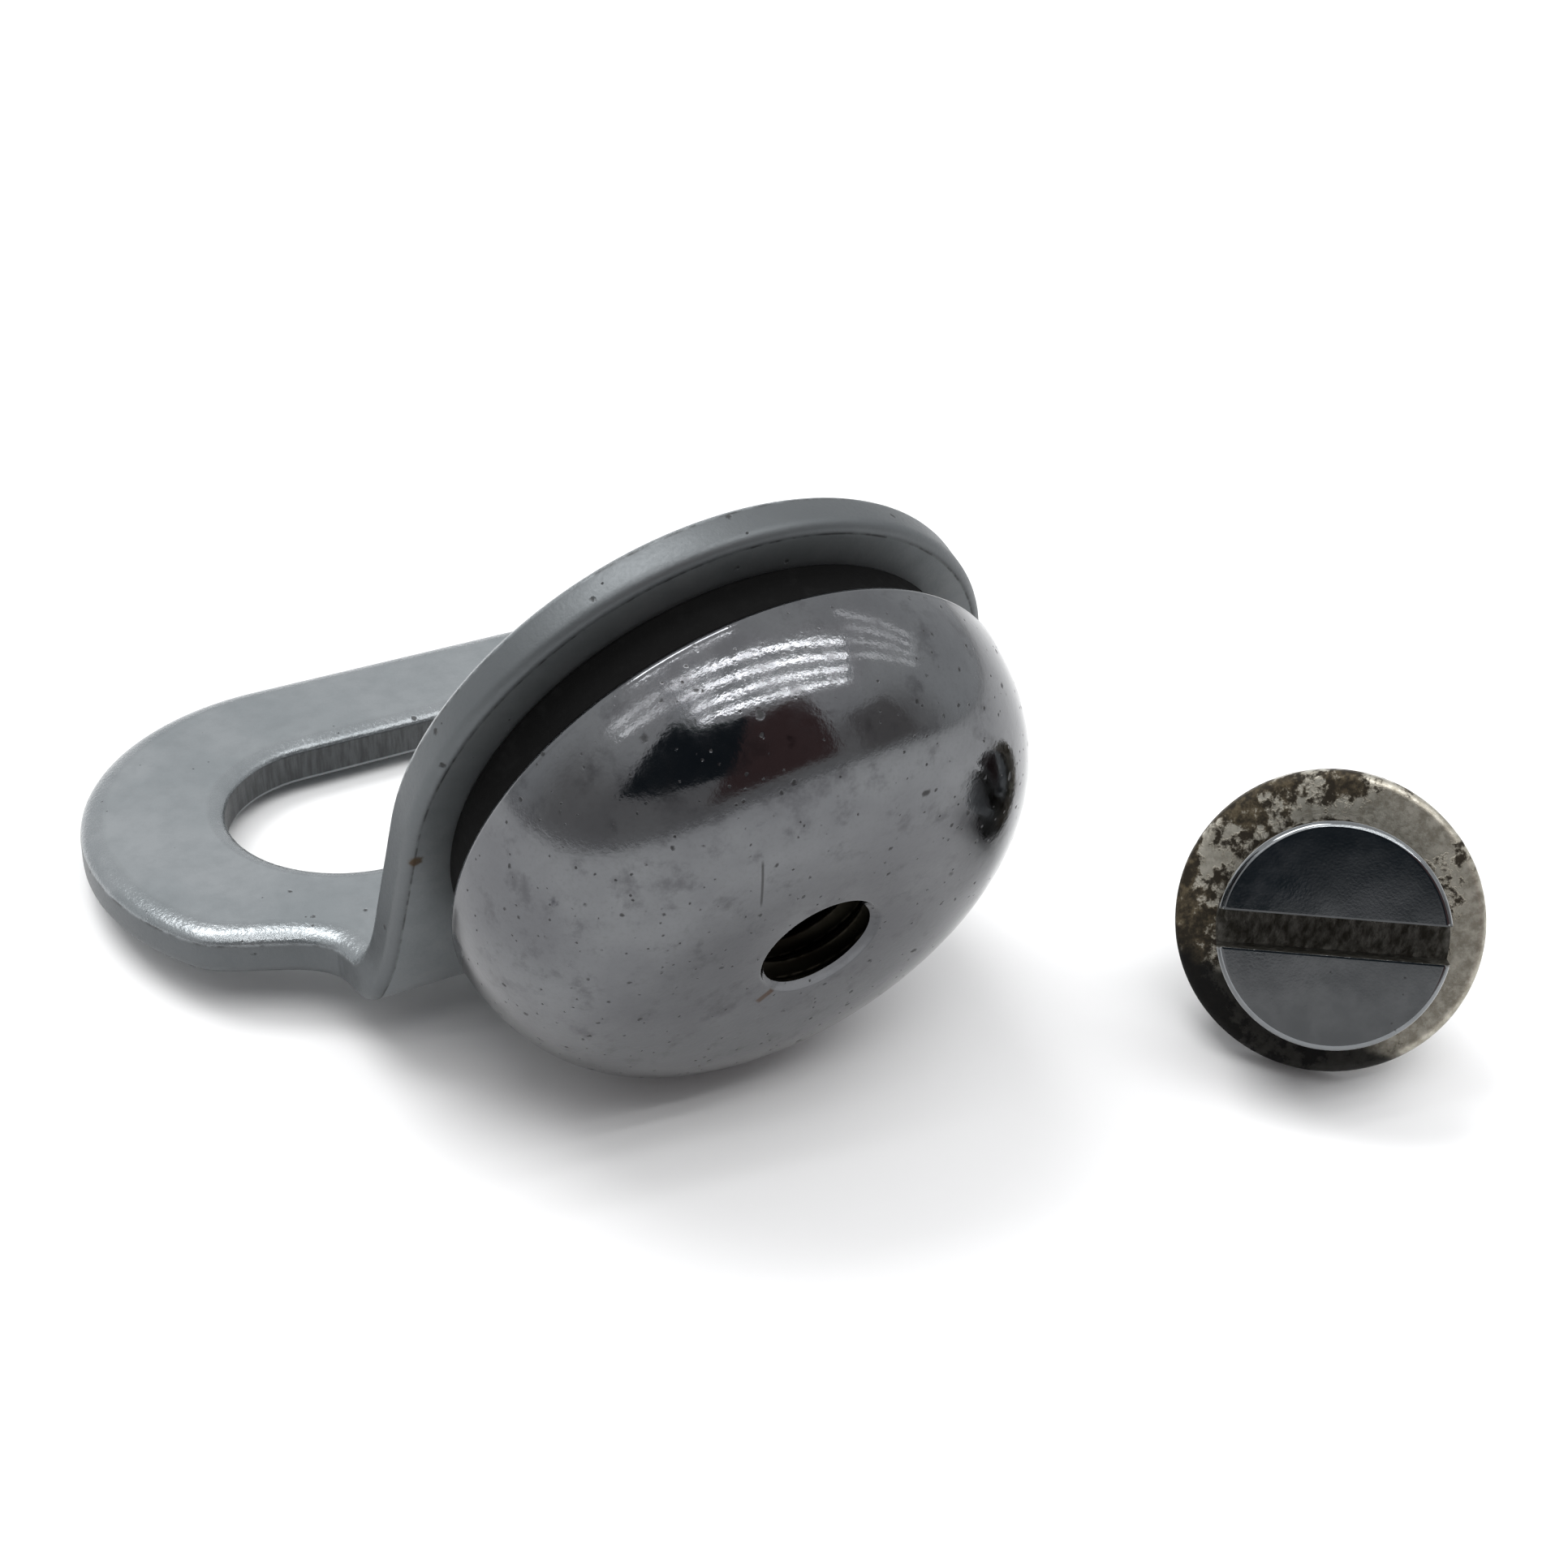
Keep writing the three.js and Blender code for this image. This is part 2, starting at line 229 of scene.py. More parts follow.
def thread_tree(material):
    """CREST is the crest's half width as a share of the pitch, FLANK_SLOPE how fast the surface
    falls from crest to root, and RUN_OUT how fast the thread starts and stops, per millimetre."""
    tree = bpy.data.node_groups.new("cut thread", "GeometryNodeTree")
    tree.interface.new_socket("Geometry", in_out="INPUT", socket_type="NodeSocketGeometry")
    sizes = ("Pitch", 1.0), ("Depth", 0.5), ("From", -10.0), ("To", 0.0), ("Widest", 3.2)
    for title, value in sizes:
        socket = tree.interface.new_socket(title, in_out="INPUT", socket_type="NodeSocketFloat")
        socket.default_value = value
    tree.interface.new_socket("Geometry", in_out="OUTPUT", socket_type="NodeSocketGeometry")
    given = tree.nodes.new("NodeGroupInput")
    result = tree.nodes.new("NodeGroupOutput")
    link = tree.links.new

    def math_node(operation, first, second=None):
        node = tree.nodes.new("ShaderNodeMath")
        node.operation = operation
        for socket, value in zip(node.inputs, (first, second)):
            if value is None:
                continue
            if isinstance(value, (int, float)):
                socket.default_value = value
            else:
                link(value, socket)
        return node.outputs[0]

    def within(value):
        return math_node("MINIMUM", math_node("MAXIMUM", value, 0.0), 1.0)

    split = tree.nodes.new("ShaderNodeSeparateXYZ")
    link(tree.nodes.new("GeometryNodeInputPosition").outputs[0], split.inputs[0])
    x, y, z = split.outputs
    squares = math_node("MULTIPLY", x, x), math_node("MULTIPLY", y, y)
    radius = math_node("SQRT", math_node("ADD", *squares))
    turns = math_node("DIVIDE", math_node("ARCTAN2", y, x), 2 * math.pi)
    climb = math_node("SUBTRACT", math_node("DIVIDE", z, given.outputs["Pitch"]), turns)
    wave = math_node("PINGPONG", climb, 0.5)
    flank = within(math_node("MULTIPLY", math_node("SUBTRACT", wave, CREST), FLANK_SLOPE))
    above = within(math_node("SUBTRACT", z, given.outputs["From"]))
    below = within(math_node("SUBTRACT", given.outputs["To"], z))
    fade = within(math_node("MULTIPLY", math_node("MULTIPLY", above, below), RUN_OUT))
    narrow = math_node("LESS_THAN", radius, given.outputs["Widest"])
    thick = math_node("GREATER_THAN", radius, 1.0)
    cut = math_node("MULTIPLY", math_node("MULTIPLY", flank, fade), math_node("MULTIPLY", narrow, thick))
    inward = math_node("MULTIPLY", cut, given.outputs["Depth"])
    shrink = math_node("SUBTRACT", 1.0, math_node("DIVIDE", inward, math_node("MAXIMUM", radius, 0.1)))
    place = tree.nodes.new("ShaderNodeCombineXYZ")
    link(math_node("MULTIPLY", x, shrink), place.inputs[0])
    link(math_node("MULTIPLY", y, shrink), place.inputs[1])
    link(z, place.inputs[2])
    move = tree.nodes.new("GeometryNodeSetPosition")
    link(given.outputs["Geometry"], move.inputs["Geometry"])
    link(place.outputs[0], move.inputs["Position"])
    realize = tree.nodes.new("GeometryNodeRealizeInstances")
    link(move.outputs[0], realize.inputs[0])
    paint = tree.nodes.new("GeometryNodeSetMaterial")
    paint.inputs["Material"].default_value = material
    link(realize.outputs[0], paint.inputs["Geometry"])
    link(paint.outputs[0], result.inputs[0])
    return tree


def cut_thread(mesh, tree, **sizes):
    """Runs the tree on a mesh and gives back a plain mesh."""
    blank = loose_object("thread blank", mesh)
    cutter = blank.modifiers.new("thread", "NODES")
    cutter.node_group = tree
    for item in tree.interface.items_tree:
        if item.in_out == "INPUT" and item.name in sizes:
            cutter[item.identifier] = float(sizes[item.name])
    return evaluated(blank, [cutter])


# %% [markdown]
# ## Metal finishes
# Plated steel looks real when four things vary together: the tone drifts in soft patches, the
# gloss drifts with it, the plating has a fine grain, and small pits show dark. One function lays
# these down from object coordinates, and each finish gives its own sizes and strengths. Rolled
# edges and cut walls are told apart by values stored on the mesh.


# %% Small helpers for shader nodes
class Nodes:
    """A node tree with short ways to add nodes and join them."""

    def __init__(self, tree):
        self.nodes = tree.nodes
        self.links = tree.links

    def add(self, kind, **settings):
        node = self.nodes.new("ShaderNode" + kind)
        for key, value in settings.items():
            setattr(node, key, value)
        return node

    def feed(self, socket, value):
        if isinstance(value, bpy.types.NodeSocket):
            self.links.new(value, socket)
        else:
            socket.default_value = value

    def sum(self, operation, first, second=0.0, third=0.0):
        node = self.add("Math", operation=operation)
        for socket, value in zip(node.inputs, (first, second, third)):
            self.feed(socket, value)
        return node.outputs[0]

    def most(self, first, *others):
        for other in others:
            first = self.sum("MAXIMUM", first, other)
        return first

    def ramp(self, value, low, high, out_low=0.0, out_high=1.0):
        node = self.add("MapRange", clamp=True, interpolation_type="SMOOTHSTEP")
        self.links.new(value, node.inputs["Value"])
        bounds = ("From Min", low), ("From Max", high), ("To Min", out_low), ("To Max", out_high)
        for title, number in bounds:
            node.inputs[title].default_value = number
        return node.outputs["Result"]

    def blend(self, amount, first, second):
        node = self.add("Mix", data_type="RGBA")
        factor, colour_a, colour_b = node.inputs[0], node.inputs[6], node.inputs[7]
        for socket, value in zip((factor, colour_a, colour_b), (amount, first, second)):
            self.feed(socket, value)
        return node.outputs[2]


class Finish(Nodes):
    """A material with one shader, laid out in the shared frame's own coordinates."""

    def __init__(self, name):
        self.material = bpy.data.materials.new(name)
        self.material.use_nodes = True
        super().__init__(self.material.node_tree)
        self.shader = self.nodes["Principled BSDF"]
        self.where = self.nodes.new("ShaderNodeTexCoord").outputs["Object"]

    def set(self, title, value):
        self.feed(self.shader.inputs[title], value)

    def noise(self, size, detail=2.0, rough=0.5, where=None):
        """Soft noise whose blotches are about size millimetres across."""
        node = self.add("TexNoise")
        self.links.new(where or self.where, node.inputs["Vector"])
        node.inputs["Scale"].default_value = 1 / (size * MM)
        node.inputs["Detail"].default_value = detail
        node.inputs["Roughness"].default_value = rough
        return node.outputs["Fac"]

    def stored(self, title):
        return self.add("Attribute", attribute_name=title).outputs["Fac"]

    def bump(self, height, depth, under=None):
        """A height from 0 to 1 becomes relief of depth millimetres."""
        node = self.add("Bump")
        node.inputs["Distance"].default_value = depth * MM
        self.links.new(height, node.inputs["Height"])
        if under:
            self.links.new(under, node.inputs["Normal"])
        return node.outputs["Normal"]

    def reach(self, place, way):
        """How far a point lies from a place along one direction, in millimetres."""
        apart = self.add("VectorMath", operation="SUBTRACT")
        self.links.new(self.where, apart.inputs[0])
        apart.inputs[1].default_value = place
        share = self.add("VectorMath", operation="DOT_PRODUCT")
        self.links.new(apart.outputs[0], share.inputs[0])
        share.inputs[1].default_value = way / MM
        return share.outputs["Value"]


def grey(value, red=0.0, blue=0.0):
    return (value + red, value, value + blue, 1.0)


# %% Pits, spots and scratches
def specks(finish, spacing, radius, share):
    """1 inside scattered pits: one in each cell of a cell pattern, in a share of the cells.
    A warp by noise keeps them from being round."""
    warp = finish.add("TexNoise")
    finish.links.new(finish.where, warp.inputs["Vector"])
    warp.inputs["Scale"].default_value = 1 / (1.5 * radius * MM)
    shift = finish.add("VectorMath", operation="MULTIPLY_ADD")
    finish.links.new(warp.outputs["Color"], shift.inputs[0])
    shift.inputs[1].default_value = [1.4 * radius * MM] * 3
    finish.links.new(finish.where, shift.inputs[2])
    cells = finish.add("TexVoronoi", feature="F1")
    finish.links.new(shift.outputs[0], cells.inputs["Vector"])
    cells.inputs["Scale"].default_value = 1 / (spacing * MM)
    inside = finish.ramp(cells.outputs["Distance"], 0.4 * radius / spacing, radius / spacing, 1.0, 0.0)
    pick = finish.add("SeparateColor")
    finish.links.new(cells.outputs["Color"], pick.inputs[0])
    chosen = finish.sum("LESS_THAN", pick.outputs[0], share)
    return finish.sum("MULTIPLY", inside, chosen)


def spot(finish, place, radius, ragged=0.6):
    """1 inside one ragged spot round a place."""
    away = finish.add("VectorMath", operation="DISTANCE")
    finish.links.new(finish.where, away.inputs[0])
    away.inputs[1].default_value = place
    torn = finish.noise(0.5 * radius, 3.0)
    edge = finish.sum("MULTIPLY_ADD", torn, ragged * radius * MM, away.outputs["Value"])
    return finish.ramp(edge, 0.75 * radius * MM, 1.3 * radius * MM, 1.0, 0.0)


def stroke(finish, place, way, length, width):
    """1 along one fine straight scratch through a place."""
    side_way = way.cross(head_out)
    side = finish.sum("ABSOLUTE", finish.reach(place, side_way))
    along = finish.sum("ABSOLUTE", finish.reach(place, way))
    thin = finish.ramp(side, 0.3 * width, 0.8 * width, 1.0, 0.0)
    return finish.sum("MULTIPLY", thin, finish.ramp(along, 0.35 * length, 0.5 * length, 1.0, 0.0))


# %% Plated steel of the bracket
def plated_steel(rust_place, chip_place):
    """Dull bluish plate: satin on the flats, a sparkling grain on the rolled edges,
    a darker torn grain on the punched walls, painted shade on the outer walls below
    the rolls and a thin painted dark line along their top."""
    f = Finish("satin zinc plate")
    patches = f.noise(6.0, 3.0)
    grain = f.noise(0.14, 4.0, 0.65)
    cloud = f.noise(0.9, 4.0, 0.6)
    rolled = f.stored("rolled")
    walls = f.stored("punched")
    edges = f.stored("sheared")
    base = f.blend(f.ramp(patches, 0.35, 0.7), (0.205, 0.223, 0.232, 1), (0.252, 0.267, 0.276, 1))
    base = f.blend(f.ramp(cloud, 0.35, 0.75, 0.0, 0.3), base, (0.155, 0.17, 0.178, 1))
    # Painted shade: the outer walls and lower edges, below the rolls, are painted darker than the flats.
    base = f.blend(f.sum("MULTIPLY", edges, 0.8), base, (0.075, 0.081, 0.085, 1))
    # Painted shade: a thin dark line along the top of the sheared band, just under the roll, stands in for
    # the dark reflection there.
    lip = f.sum("MULTIPLY", edges, f.sum("SUBTRACT", 1.0, edges))
    lip = f.sum("MULTIPLY", lip, f.ramp(cloud, 0.42, 0.62, 0.3, 3.2))
    base = f.blend(lip, base, grey(0.03))
    streaks = f.add("Mapping")
    f.links.new(f.where, streaks.inputs["Vector"])
    streaks.inputs["Scale"].default_value = (1, 1, 0.08)
    torn = f.noise(0.22, 3.0, 0.6, streaks.outputs[0])
    dark_walls = f.sum("MULTIPLY", walls, f.ramp(torn, 0.3, 0.7, 0.78, 0.96))
    base = f.blend(dark_walls, base, grey(0.035, -0.001, 0.001))
    knocks = f.sum("MULTIPLY", edges, specks(f, 1.1, 0.16, 0.4))
    pits = f.most(specks(f, 2.2, 0.16, 0.5), specks(f, 0.9, 0.06, 0.4), knocks)
    base = f.blend(f.sum("MULTIPLY", pits, 0.85), base, grey(0.035))
    rust = spot(f, rust_place, 0.38)
    base = f.blend(f.sum("MULTIPLY", rust, 0.9), base, (0.065, 0.037, 0.014, 1))
    chip = spot(f, chip_place, 0.16)
    base = f.blend(chip, base, grey(0.01))
    f.set("Base Color", base)
    f.set("Metallic", 0.7)
    gloss = f.ramp(grain, 0.3, 0.75, 0.42, 0.5)
    gloss = f.sum("ADD", gloss, f.sum("MULTIPLY", walls, 0.15))
    gloss = f.sum("ADD", gloss, f.sum("MULTIPLY", f.most(rust, pits), 0.2))
    f.set("Roughness", f.sum("SUBTRACT", gloss, f.sum("MULTIPLY", rolled, 0.2)))
    swell = f.bump(f.noise(2.4, 1.0), 0.03)
    fine = f.bump(grain, 0.006, swell)
    shiny = f.most(rolled, f.sum("MULTIPLY", edges, 0.35))
    sparkle = f.bump(f.sum("MULTIPLY", f.noise(0.2, 3.0, 0.6), shiny), 0.026, fine)
    ribs = f.bump(f.sum("MULTIPLY", torn, walls), 0.04, sparkle)
    f.set("Normal", f.bump(f.sum("SUBTRACT", 1.0, f.most(pits, chip)), 0.03, ribs))
    return f.material


# %% Hazy polished chrome of the head
def polished_chrome(scratch_place, scratch_way, streak_place, streak_way, smudge_place, dent_place):
    """Buffed plate with a little haze, a lilac cast, many pinholes, a scratch and a rust streak."""
    f = Finish("hazy polished chrome")
    patches = f.noise(5.0, 4.0, 0.6)
    haze = f.noise(1.3, 5.0, 0.65)
    base = f.blend(f.ramp(patches, 0.3, 0.72), (0.115, 0.117, 0.124, 1), (0.152, 0.156, 0.162, 1))
    base = f.blend(f.ramp(haze, 0.5, 0.72, 0.0, 0.65), base, grey(0.065, 0.0, 0.005))
    base = f.blend(f.ramp(f.noise(0.16, 3.0, 0.7), 0.45, 0.8, 0.0, 0.3), base, grey(0.09))
    pits = f.most(specks(f, 0.5, 0.075, 0.7), specks(f, 0.9, 0.13, 0.6), specks(f, 2.2, 0.24, 0.5))
    base = f.blend(f.sum("MULTIPLY", pits, 0.8), base, grey(0.03))
    smudge = spot(f, smudge_place, 0.55, 1.6)
    dent = spot(f, dent_place, 0.3, 1.2)
    base = f.blend(f.sum("MULTIPLY", f.most(smudge, dent), 0.7), base, grey(0.04, 0.0, 0.006))
    rust = f.most(spot(f, streak_place, 0.16, 1.0), stroke(f, streak_place, streak_way, 0.9, 0.3))
    base = f.blend(f.sum("MULTIPLY", rust, 0.85), base, (0.06, 0.028, 0.012, 1))
    scratch = stroke(f, scratch_place, scratch_way, 2.7, 0.09)
    base = f.blend(f.sum("MULTIPLY", scratch, 0.75), base, grey(0.035))
    # Painted shade: the inside of the tapped hole is painted near-black, with a brown tint, and made
    # rougher.
    inside = f.stored("bore")
    base = f.blend(f.sum("MULTIPLY", inside, 0.93), base, (0.016, 0.013, 0.007, 1))
    f.set("Base Color", base)
    f.set("Metallic", 1.0)
    gloss = f.sum("ADD", f.ramp(haze, 0.3, 0.75, 0.07, 0.18), f.sum("MULTIPLY", pits, 0.35))
    f.set("Roughness", f.sum("ADD", gloss, f.sum("MULTIPLY", inside, 0.3)))
    swell = f.bump(f.noise(3.5, 1.0), 0.02)
    fine = f.bump(f.noise(0.22, 2.0, 0.6), 0.0045, swell)
    marks = f.sum("SUBTRACT", 1.0, f.most(pits, scratch, dent))
    f.set("Normal", f.bump(marks, 0.006, fine))
    return f.material


# %% Rubber, screws and washers
def black_rubber():
    f = Finish("black rubber")
    dust = f.noise(1.2, 5.0, 0.7)
    f.set("Base Color", f.blend(f.ramp(dust, 0.5, 0.8), grey(0.0025), grey(0.008)))
    f.set("Roughness", f.ramp(dust, 0.3, 0.8, 0.7, 0.9))
    f.set("Specular IOR Level", 0.08)
    f.set("Normal", f.bump(f.noise(0.15, 3.0), 0.01))
    return f.material


def screw_steel():
    """Bright turned steel, dark grease in the thread and brown dirt in the driver slot."""
    f = Finish("bright screw plate")
    patches = f.noise(1.8, 4.0, 0.6)
    base = f.blend(f.ramp(patches, 0.35, 0.7), (0.165, 0.174, 0.18, 1), (0.205, 0.214, 0.221, 1))
    grease = f.sum("MULTIPLY", f.stored("threaded"), f.ramp(f.noise(0.5, 4.0), 0.3, 0.65, 0.35, 0.9))
    base = f.blend(grease, base, (0.03, 0.024, 0.018, 1))
    combed = f.add("Mapping")
    f.links.new(f.where, combed.inputs["Vector"])
    combed.inputs["Scale"].default_value = (1.0, 1.0, 0.25)
    grime = f.noise(0.35, 4.0, 0.6, combed.outputs[0])
    dirt = f.stored("driver_slot")
    soil = f.blend(f.ramp(grime, 0.35, 0.75), (0.04, 0.037, 0.03, 1), (0.16, 0.155, 0.14, 1))
    base = f.blend(dirt, base, soil)
    pits = specks(f, 0.7, 0.07, 0.5)
    base = f.blend(f.sum("MULTIPLY", pits, 0.6), base, grey(0.04))
    f.set("Base Color", base)
    f.set("Metallic", 1.0)
    gloss = f.sum("ADD", f.ramp(f.noise(0.8, 4.0), 0.3, 0.7, 0.04, 0.09), f.sum("MULTIPLY", dirt, 0.45))
    f.set("Roughness", f.sum("ADD", gloss, f.sum("MULTIPLY", grease, 0.25)))
    dish = f.bump(f.noise(2.6, 1.0), 0.007)
    scored = f.bump(f.noise(0.12, 3.0, 0.6), 0.001, dish)
    f.set("Normal", f.bump(f.sum("MULTIPLY", grime, dirt), 0.08, scored))
    return f.material


def stained_steel(black_place, black_way):
    """Old washer steel: cream-grey plate left in islands between brown-black stains,
    and a painted shadow, near black, along the edge that lay lowest."""
    f = Finish("stained washer steel")
    large = f.noise(3.6, 4.0, 0.6)
    small = f.noise(0.5, 5.0, 0.7)
    mixed = f.sum("MULTIPLY_ADD", small, 0.4, f.sum("MULTIPLY", large, 0.8))
    side = f.reach(black_place, level)
    mixed = f.sum("MULTIPLY_ADD", side, 0.016, mixed)
    stain = f.ramp(mixed, 0.55, 0.62, 1.0, 0.0)
    clean = f.blend(f.ramp(small, 0.35, 0.7), (0.27, 0.25, 0.205, 1), (0.5, 0.475, 0.41, 1))
    brown = f.blend(f.ramp(small, 0.4, 0.7), (0.02, 0.016, 0.011, 1), (0.1, 0.08, 0.05, 1))
    base = f.blend(stain, clean, brown)
    # Painted shadow: a near-black, less metallic band along the washer's lowest edge, where the screw's
    # head shades it.
    ragged = f.sum("MULTIPLY_ADD", f.noise(1.2, 4.0), 1.6, f.reach(black_place, black_way))
    painted_shadow = f.ramp(ragged, 0.2, 1.4)
    base = f.blend(f.sum("MULTIPLY", painted_shadow, 0.96), base, grey(0.004))
    f.set("Base Color", base)
    f.set("Metallic", f.ramp(f.most(stain, painted_shadow), 0.0, 1.0, 0.9, 0.0))
    f.set("Specular IOR Level", 0.12)
    f.set("Roughness", f.ramp(stain, 0.0, 1.0, 0.4, 0.65))
    crust = f.bump(stain, 0.03)
    f.set("Normal", f.bump(small, 0.03, crust))
    return f.material


def plain_steel():
    f = Finish("plain steel")
    cloud = f.ramp(f.noise(1.5, 5.0), 0.35, 0.7)
    f.set("Base Color", f.blend(cloud, grey(0.13, 0.004), grey(0.24, 0.0, 0.005)))
    f.set("Metallic", 1.0)
    f.set("Roughness", f.ramp(f.noise(0.4, 4.0), 0.3, 0.7, 0.35, 0.55))
    f.set("Normal", f.bump(f.noise(0.15, 4.0), 0.012))
    return f.material


# %% Make the finishes
rust_place = HEAD_FRAME @ Vector((-12.6, -0.9, 0))
chip_place = FOOT_FRAME @ Vector((-20.1, 11.4, 1.7))
scratch_place = HEAD_FRAME @ Vector((-3.8, 5.2, 9.3))
scratch_way = (up_face - across * 0.14).normalized()
streak_place = HEAD_FRAME @ Vector((-1.95, -2.3, 9.55))
streak_way = (up_face + across).normalized()
smudge_place = HEAD_FRAME @ Vector((-2.7, 10.4, 7.2))
dent_place = HEAD_FRAME @ Vector((-10.6, 3.7, 6.5))
BRACKET_FINISH = plated_steel(rust_place, chip_place)
CHROME_FINISH = polished_chrome(scratch_place, scratch_way, streak_place, streak_way,
                                smudge_place, dent_place)
RUBBER_FINISH = black_rubber()
SCREW_FINISH = screw_steel()
washer_down = level.cross(screw_out)
if washer_down.z > 0:
    washer_down = -washer_down
# The way from the washer's middle to its lowest edge, where the painted shadow lies.
painted_shadow_way = (washer_down * 0.97 - level * 0.24).normalized()
WASHER_FINISH = stained_steel(washer_middle + painted_shadow_way * 3.7 * MM, painted_shadow_way)
PLAIN_FINISH = plain_steel()
print("finishes:", [m.name for m in bpy.data.materials])

# %% [markdown]
# ## The bracket
# The real bracket starts as a flat blank punched from 2 mm steel and is then bent once. It is
# made here in the same order. The blank's outline is drawn flat, given its thickness, and its
# punched edges are rolled over. Then cuts are made across the bend, and every point is carried
# round it. That way the flare beside the bend follows the metal, as on the real one.

# %% Sizes of the blank
FOOT_R, SLOT_R, SLOT_HALF, SLOT_BACK = 11.62, 5.4, 9.17, 12.29
UPRIGHT_R = 13.1
BEND_OUT_R, BEND_IN_R = 1.5, 0.3
ROLL_TOP, ROLL_SLOT, ROLL_UNDER, ROLL_DEEP = 1.15, 0.85, 0.5, 0.6
ROLLED_SHEET = SHEET - ROLL_DEEP + ROLL_TOP
BEND_ANGLE = math.pi / 2 - LEAN
HALF_TAN = math.tan(BEND_ANGLE / 2)
OUT_TANGENT = BEND_OUT_R * HALF_TAN
IN_TANGENT = (SHEET + BEND_IN_R) * HALF_TAN
BEND_LONG = BEND_ANGLE * (BEND_OUT_R + BEND_IN_R) / 2
blank_long = SLOT_BACK + FOOT_R + AXIS_UP + UPRIGHT_R + BEND_LONG - 2 * OUT_TANGENT
print("flat blank", round(2 * (SLOT_HALF + FOOT_R), 1), "by", round(blank_long, 1), "mm")


# %% The flat blank's outline
def curve(points, steps):
    """A cubic curve through its first and last control point."""
    made = []
    for i in range(1, steps + 1):
        t = i / steps
        weights = (1 - t) ** 3, 3 * t * (1 - t) ** 2, 3 * t * t * (1 - t), t ** 3
        made.append(tuple(sum(w * p[k] for w, p in zip(weights, points)) for k in range(2)))
    return made


FLARE_ANGLE, FLARE_WAIST, FLARE_FRONT, FLARE_LEAD = 34, 13.75, 1.9, 1.9
FLARE_HOLLOW = Vector((-0.25, 2.2))


def foot_half():
    """One half of the blank's outline on the foot's side, from the back edge to the upright,
    as points across and along. Along is 0 where the bend starts and grows up the upright.
    The foot's round end runs out into a hollow flare beside the bend."""
    middle = OUT_TANGENT - SLOT_BACK
    points = arc(SLOT_HALF, middle, FOOT_R, -90, FLARE_ANGLE, 56)
    start = Vector(points[-1])
    swing = math.radians(FLARE_ANGLE)
    lead = start + Vector((-math.sin(swing), math.cos(swing))) * FLARE_LEAD
    flare_end = Vector((FLARE_WAIST, OUT_TANGENT - FLARE_FRONT))
    points += curve((start, lead, flare_end - FLARE_HOLLOW, flare_end), 16)
    side_start = (UPRIGHT_R, BEND_LONG + 0.5)
    side = (UPRIGHT_R, BEND_LONG + 2.5)
    points += curve((flare_end, flare_end + Vector((-0.1, 0.9)), side_start, side), 10)
    return points


def blank_outline():
    right = foot_half()
    middle = BEND_LONG + AXIS_UP - OUT_TANGENT
    crown = arc(0, middle, UPRIGHT_R, 0, 180, 90)
    left = [(-x, y) for x, y in reversed(right)]
    return right + crown + left


def slot_outline():
    middle = OUT_TANGENT - SLOT_BACK
    right = arc(SLOT_HALF, middle, SLOT_R, -90, 90, 32)
    return right + [(-x, y) for x, y in reversed(right)]


# %% Round the bend
SWELL, SWELL_LONG, SWELL_FROM = 0.12, 0.8, 11.0
SETTLE = 1.5


def squeezed(x, along):
    """Bending swells the plate's sides a little where the metal is pressed together."""
    side = min(max((abs(x) - SWELL_FROM) / 2.0, 0.0), 1.0)
    apart = (along - 0.6 * BEND_LONG) / SWELL_LONG
    return x + math.copysign(side * SWELL * math.exp(-apart ** 2), x)


def bent(point):
    """Carries a point of the flat blank round the bend, in the foot's own frame. The outer face
    keeps one radius and the inner face its own smaller one, so the corner is full of metal.
    What the inner face gains or loses there is shared out over SETTLE millimetres either side."""
    x, along, depth = point
    x = squeezed(x, along)
    share = depth / SHEET
    spread = (IN_TANGENT - OUT_TANGENT) * share
    if along <= 0:
        return Vector((x, OUT_TANGENT - along + spread * math.exp(along / SETTLE), depth))
    swing = min(along / BEND_LONG, 1.0) * BEND_ANGLE
    outer = Vector((OUT_TANGENT - BEND_OUT_R * math.sin(swing), BEND_OUT_R * (1 - math.cos(swing))))
    inner = Vector((IN_TANGENT - BEND_IN_R * math.sin(swing), SHEET + BEND_IN_R * (1 - math.cos(swing))))
    y, z = outer.lerp(inner, share)
    past = max(along - BEND_LONG, 0.0)
    if past:
        past += spread * (math.exp(-past / SETTLE) - 1)
    return Vector((x, y - past * math.sin(LEAN), z + past * math.cos(LEAN)))


# %% Build, roll and bend the blank
def punched_plate():
    work = bmesh.new()
    for outline in (blank_outline(), slot_outline()):
        loop = [work.verts.new((x, y, 0)) for x, y in outline]
        for first, second in zip(loop, loop[1:] + loop[:1]):
            if (first.co - second.co).length > 1e-6:
                work.edges.new((first, second))
    bmesh.ops.remove_doubles(work, verts=work.verts, dist=1e-4)
    bmesh.ops.triangle_fill(work, use_beauty=True, edges=work.edges)
    raised = bmesh.ops.extrude_face_region(work, geom=list(work.faces), use_keep_orig=True)
    lifted = [item for item in raised["geom"] if isinstance(item, bmesh.types.BMVert)]
    bmesh.ops.translate(work, verts=lifted, vec=(0, 0, SHEET))
    bmesh.ops.recalc_face_normals(work, faces=work.faces)
    return work


def roll_edges(work, height, size, chosen=lambda point: True):
    """Rounds the punched edges on one side of the plate."""
    rim = []
    for edge in work.edges:
        level_edge = all(abs(v.co.z - height) < 1e-5 for v in edge.verts)
        if level_edge and edge.calc_face_angle(0) > 1.0 and chosen(edge.verts[0].co):
            rim.append(edge)
    bmesh.ops.bevel(work, geom=rim, offset=size, segments=7, profile=0.5, affect="EDGES")


def by_slot(point):
    """True on the slot's own edge."""
    past_end = abs(point.x) - SLOT_HALF
    off_middle = abs(point.y - OUT_TANGENT + SLOT_BACK)
    return max(past_end, off_middle) < SLOT_R + 0.1


